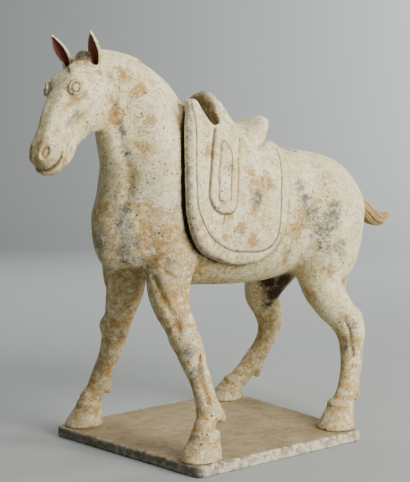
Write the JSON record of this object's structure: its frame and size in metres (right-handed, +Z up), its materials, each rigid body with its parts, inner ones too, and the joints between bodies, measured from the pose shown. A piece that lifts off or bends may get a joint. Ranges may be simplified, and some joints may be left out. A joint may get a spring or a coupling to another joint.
{
  "type": "horse figure",
  "caption": "Standing saddled horse figure in slip-covered earthenware, head turned to its left, short tail, on a thin slab.",
  "frame": {"origin": "centre of the slab's underside", "axes": "+Z up; the horse faces -X, so +X runs from its breast to its rump and tail; its left side is -Y"},
  "size_m": [0.6353, 0.2857, 0.5005],
  "materials": {
    "horse": "matt cream slip over grey clay, worn, with earth",
    "tail": "matt tan clay, earth-stained",
    "base_slab": "matt, rough, brushed top, pale worn edges"
  },
  "bodies": {
    "root": {"horse": "horse", "tail": "tail", "base_slab": "base_slab"}
  },
  "joints": []
}
